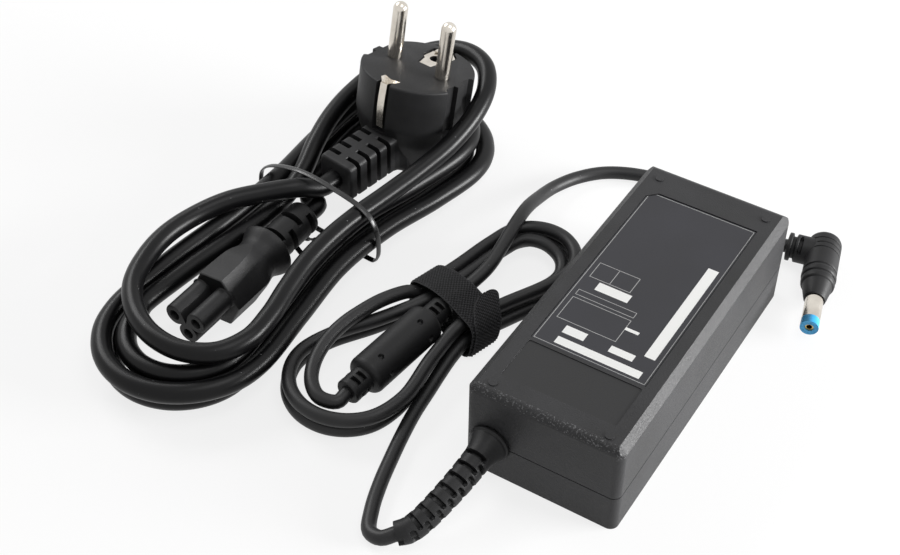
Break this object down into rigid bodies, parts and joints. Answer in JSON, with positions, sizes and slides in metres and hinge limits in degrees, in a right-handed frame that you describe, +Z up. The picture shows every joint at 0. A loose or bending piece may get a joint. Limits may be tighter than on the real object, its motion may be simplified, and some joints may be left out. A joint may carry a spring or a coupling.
{
  "type": "laptop power adapter",
  "caption": "Dark grey laptop power adapter: brick with a strapped low-voltage lead, ferrite and blue-tipped barrel plug, and a loose earthed mains lead tied in a hank",
  "frame": {"origin": "centre of the case's underside, on the plane the object rests on", "axes": "+X across the case to its right side, +Y along the case towards the mains inlet, +Z up out of the label face"},
  "size_m": [0.1809, 0.1739, 0.0531],
  "materials": {
    "case_plastic": "fine spark-eroded grain",
    "label_film": "smooth satin film, bare",
    "inlet_plastic": "smooth moulded",
    "plated_contact": "nickel plated",
    "board_laminate": "green solder mask",
    "fuse_plastic": "moulded",
    "yellow_plastic": "moulded box",
    "green_coating": "coated ferrite ring",
    "copper_wire": "enamelled copper",
    "chip_epoxy": "moulded epoxy",
    "blue_sleeve": "shrink sleeve",
    "green_sleeve": "shrink sleeve",
    "heat_sink_metal": "rolled sheet",
    "ferrite": "sintered",
    "bobbin_plastic": "moulded",
    "winding_tape": "polyester tape",
    "disc_ceramic": "coated disc",
    "screw_steel": "zinc plated",
    "insulation_paper": "calendered sheet",
    "thermal_rubber": "soft pad",
    "red_insulation": "PVC",
    "relief_rubber": "satin overmould",
    "matte_cord": "matte jacket",
    "woven_strap": "woven loops and hooks",
    "blue_plastic": "moulded insulator",
    "brass_contact": "plated brass",
    "plug_rubber": "satin overmould",
    "gloss_cord": "shiny PVC jacket",
    "tie_plastic": "flat twist tie"
  },
  "bodies": {
    "adapter": {"upper_cover": "case_plastic", "lower_cover": "case_plastic", "rating_label": "label_film", "ac_inlet_housing": "inlet_plastic", "ac_inlet_pins": "plated_contact", "circuit_board": "board_laminate", "fuse": "fuse_plastic", "x_capacitor": "yellow_plastic", "filter_choke_core": "green_coating", "filter_choke_windings": "copper_wire", "bridge_rectifier": "chip_epoxy", "bulk_capacitor": "blue_sleeve", "primary_heat_sink": "heat_sink_metal", "primary_transistor": "chip_epoxy", "transformer_core": "ferrite", "transformer_bobbin": "bobbin_plastic", "transformer_winding": "winding_tape", "secondary_heat_sink": "heat_sink_metal", "output_rectifier": "chip_epoxy", "output_capacitors": "green_sleeve", "y_capacitor": "disc_ceramic", "output_choke": "copper_wire", "controller_chip": "chip_epoxy", "heat_sink_screws": "screw_steel", "insulation_sheet": "insulation_paper", "lower_heat_spreader": "heat_sink_metal", "upper_heat_spreader": "heat_sink_metal", "thermal_pads": "thermal_rubber", "output_wires": "red_insulation", "dc_strain_relief": "relief_rubber", "dc_cord_start": "matte_cord", "dc_cord_hank": "matte_cord", "dc_cord_bend": "matte_cord", "dc_cord_end": "matte_cord", "ferrite_cover": "relief_rubber", "ferrite_core": "ferrite", "hook_and_loop_strap": "woven_strap", "dc_plug_body": "relief_rubber", "dc_plug_barrel": "plated_contact", "dc_plug_tip_ring": "blue_plastic", "dc_plug_center_contact": "brass_contact"},
    "mains_lead": {"mains_plug_body": "plug_rubber", "mains_plug_pins": "plated_contact", "mains_plug_earth_contacts": "plated_contact", "mains_cord_start": "gloss_cord", "mains_cord_hank": "gloss_cord", "mains_cord_end": "gloss_cord", "c5_connector_body": "plug_rubber", "c5_connector_contacts": "brass_contact", "wire_tie": "tie_plastic"}
  },
  "joints": [
    {"name": "mains_lead_lift", "type": "slide", "parent": "adapter", "child": "mains_lead", "axis": [0, 0, 1], "range_m": [0, 0.15]}
  ]
}
